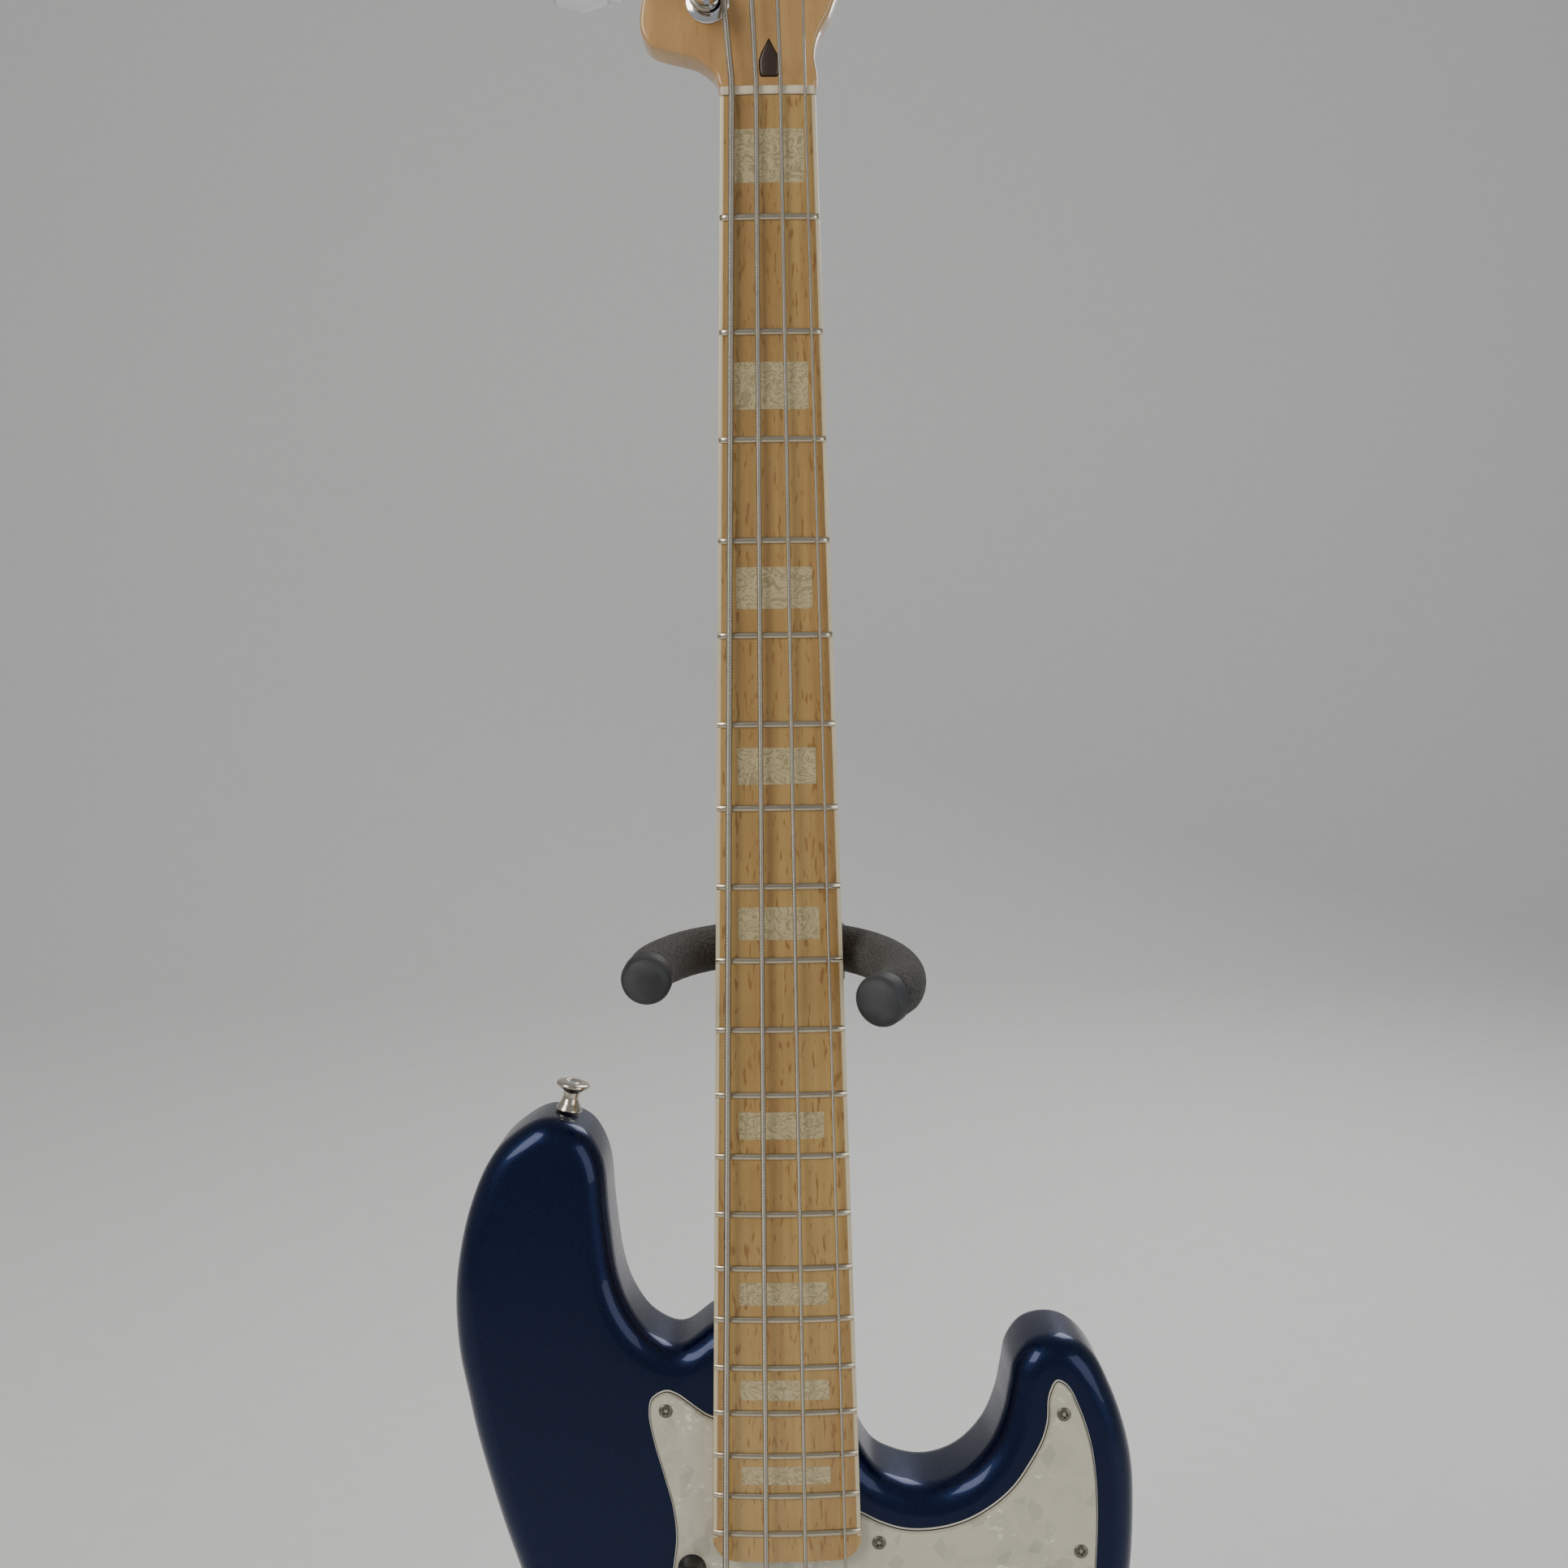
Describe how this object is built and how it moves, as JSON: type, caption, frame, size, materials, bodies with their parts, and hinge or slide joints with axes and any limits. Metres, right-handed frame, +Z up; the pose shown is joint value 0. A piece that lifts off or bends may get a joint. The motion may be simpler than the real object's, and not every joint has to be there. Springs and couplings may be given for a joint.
{
  "type": "electric bass guitar on folding stand",
  "caption": "Electric bass guitar with a glossy dark blue body, leaning on a folding tripod stand with a foam-covered neck yoke and body cradle.",
  "frame": {"origin": "on the floor, below the middle of the whole object's bounding box", "axes": "+Z up; the strings face -Y; +X is to the right of someone who faces the strings"},
  "size_m": [0.4446, 0.4142, 1.3308],
  "materials": {
    "maple": "clear gloss over straight-grained natural maple",
    "amber_maple": "gloss amber lacquer over maple, with cream binding, pearl blocks and nickel frets",
    "walnut": "oiled dark walnut",
    "bone": "polished cream bone",
    "blue_lacquer": "wooden body under a deep gloss metallic midnight-blue lacquer",
    "pearl_plastic": "three-ply plastic, aged white pearl on top, black line at the edge",
    "chrome": "polished chrome plate",
    "roundwound_steel": "round-wound nickel-plated wire",
    "plain_steel": "plain steel rod",
    "black_plastic": "satin moulded black plastic",
    "black_painted_steel": "satin black powder coat",
    "foam": "soft charcoal closed-cell foam with a fine skin",
    "rubber": "moulded black rubber"
  },
  "bodies": {
    "stand": {"hub": "black_plastic", "main_tube": "black_painted_steel", "clamp_collar": "black_plastic", "cradle_tube": "black_painted_steel", "cradle_foam_left": "foam", "cradle_foam_right": "foam", "cradle_cap_left": "rubber", "cradle_cap_right": "rubber"},
    "upper_mast": {"upper_tube": "black_painted_steel"},
    "yoke": {"yoke_tube": "black_painted_steel", "yoke_foam": "foam", "yoke_cap_left": "rubber", "yoke_cap_right": "rubber"},
    "clamp": {"clamp_knob": "black_plastic"},
    "leg_rear": {"leg_rear": "black_painted_steel", "foot_rear": "rubber"},
    "leg_left": {"leg_left": "black_painted_steel", "foot_left": "rubber"},
    "leg_right": {"leg_right": "black_painted_steel", "foot_right": "rubber"},
    "bass": {"body": "blue_lacquer", "neck": "maple", "fretboard": "amber_maple", "nut": "bone", "truss_rod": "plain_steel", "truss_rod_plug": "walnut", "string_tree": "chrome", "tuner_plate_e": "chrome", "tuner_plate_a": "chrome", "tuner_plate_d": "chrome", "tuner_plate_g": "chrome", "string_e": "roundwound_steel", "string_a": "roundwound_steel", "string_d": "roundwound_steel", "string_g": "roundwound_steel", "pickguard": "pearl_plastic", "thumb_rest": "black_plastic", "neck_pickup": "black_plastic", "bridge_pickup": "black_plastic", "control_plate": "chrome", "output_jack": "chrome", "bridge_plate": "chrome", "strap_button_horn": "chrome", "strap_button_base": "chrome", "neck_plate": "chrome"},
    "key_e": {"tuner_key_e": "chrome"},
    "post_e": {"tuner_post_e": "chrome"},
    "key_a": {"tuner_key_a": "chrome"},
    "post_a": {"tuner_post_a": "chrome"},
    "key_d": {"tuner_key_d": "chrome"},
    "post_d": {"tuner_post_d": "chrome"},
    "key_g": {"tuner_key_g": "chrome"},
    "post_g": {"tuner_post_g": "chrome"},
    "knob_neck_volume": {"knob_neck_volume": "chrome"},
    "knob_bridge_volume": {"knob_bridge_volume": "chrome"},
    "knob_tone": {"knob_tone": "chrome"},
    "saddle_e": {"saddle_e": "chrome"},
    "saddle_a": {"saddle_a": "chrome"},
    "saddle_d": {"saddle_d": "chrome"},
    "saddle_g": {"saddle_g": "chrome"}
  },
  "joints": [
    {"name": "bass_lift", "type": "slide", "parent": "stand", "child": "bass", "axis": [0, 0, 1], "range_m": [0, 0.06]},
    {"name": "mast_height", "type": "slide", "parent": "stand", "child": "upper_mast", "axis": [0, 0, 1], "range_m": [-0.1, 0]},
    {"name": "yoke_swivel", "type": "hinge", "parent": "upper_mast", "child": "yoke", "pos_m": [-0.00001, -0.01823, 0.76465], "axis": [0, 0, 1], "range_deg": [-0.8, 3]},
    {"name": "clamp_turn", "type": "hinge", "parent": "stand", "child": "clamp", "pos_m": [-0.00001, -0.01823, 0.44855], "axis": [0, 1, 0], "range_deg": [0, 270]},
    {"name": "leg_rear_fold", "type": "hinge", "parent": "stand", "child": "leg_rear", "pos_m": [-0.00001, 0.01977, 0.108], "axis": [-1, 0, 0], "range_deg": [0, 60]},
    {"name": "leg_left_fold", "type": "hinge", "parent": "stand", "child": "leg_left", "pos_m": [-0.02912, -0.04266, 0.108], "axis": [0.6428, -0.766, 0], "range_deg": [0, 60]},
    {"name": "leg_right_fold", "type": "hinge", "parent": "stand", "child": "leg_right", "pos_m": [0.0291, -0.04266, 0.108], "axis": [0.6428, 0.766, 0], "range_deg": [0, 60]},
    {"name": "tuner_key_e_turn", "type": "hinge", "parent": "bass", "child": "key_e", "pos_m": [-0.04281, 0.01469, 1.16295], "axis": [1, 0, 0], "continuous": true},
    {"name": "tuner_post_e_turn", "type": "hinge", "parent": "bass", "child": "post_e", "pos_m": [-0.04281, 0.00657, 1.15046], "axis": [0, -0.9903, 0.1392], "continuous": true},
    {"name": "tuner_key_a_turn", "type": "hinge", "parent": "bass", "child": "key_a", "pos_m": [-0.03301, 0.02039, 1.20355], "axis": [1, 0, 0], "continuous": true},
    {"name": "tuner_post_a_turn", "type": "hinge", "parent": "bass", "child": "post_a", "pos_m": [-0.03301, 0.01228, 1.19106], "axis": [0, -0.9903, 0.1392], "continuous": true},
    {"name": "tuner_key_d_turn", "type": "hinge", "parent": "bass", "child": "key_d", "pos_m": [-0.02301, 0.0261, 1.24416], "axis": [1, 0, 0], "continuous": true},
    {"name": "tuner_post_d_turn", "type": "hinge", "parent": "bass", "child": "post_d", "pos_m": [-0.02301, 0.01798, 1.23166], "axis": [0, -0.9903, 0.1392], "continuous": true},
    {"name": "tuner_key_g_turn", "type": "hinge", "parent": "bass", "child": "key_g", "pos_m": [-0.01301, 0.03181, 1.28476], "axis": [1, 0, 0], "continuous": true},
    {"name": "tuner_post_g_turn", "type": "hinge", "parent": "bass", "child": "post_g", "pos_m": [-0.01301, 0.02369, 1.27226], "axis": [0, -0.9903, 0.1392], "continuous": true},
    {"name": "knob_neck_volume_turn", "type": "hinge", "parent": "bass", "child": "knob_neck_volume", "pos_m": [0.06619, -0.11851, 0.36462], "axis": [0, -0.9903, 0.1392], "range_deg": [0, 270]},
    {"name": "knob_bridge_volume_turn", "type": "hinge", "parent": "bass", "child": "knob_bridge_volume", "pos_m": [0.07159, -0.12415, 0.32452], "axis": [0, -0.9903, 0.1392], "range_deg": [0, 270]},
    {"name": "knob_tone_turn", "type": "hinge", "parent": "bass", "child": "knob_tone", "pos_m": [0.07699, -0.12979, 0.28441], "axis": [0, -0.9903, 0.1392], "range_deg": [0, 270]},
    {"name": "saddle_e_slide", "type": "slide", "parent": "bass", "child": "saddle_e", "axis": [0, 0.1392, 0.9903], "range_m": [-0.004, 0.004]},
    {"name": "saddle_a_slide", "type": "slide", "parent": "bass", "child": "saddle_a", "axis": [0, 0.1392, 0.9903], "range_m": [-0.004, 0.004]},
    {"name": "saddle_d_slide", "type": "slide", "parent": "bass", "child": "saddle_d", "axis": [0, 0.1392, 0.9903], "range_m": [-0.004, 0.004]},
    {"name": "saddle_g_slide", "type": "slide", "parent": "bass", "child": "saddle_g", "axis": [0, 0.1392, 0.9903], "range_m": [-0.004, 0.004]}
  ],
  "couplings": [
    {"joint": "tuner_post_e_turn", "follows": "tuner_key_e_turn", "ratio": 0.05},
    {"joint": "tuner_post_a_turn", "follows": "tuner_key_a_turn", "ratio": 0.05},
    {"joint": "tuner_post_d_turn", "follows": "tuner_key_d_turn", "ratio": 0.05},
    {"joint": "tuner_post_g_turn", "follows": "tuner_key_g_turn", "ratio": 0.05}
  ]
}
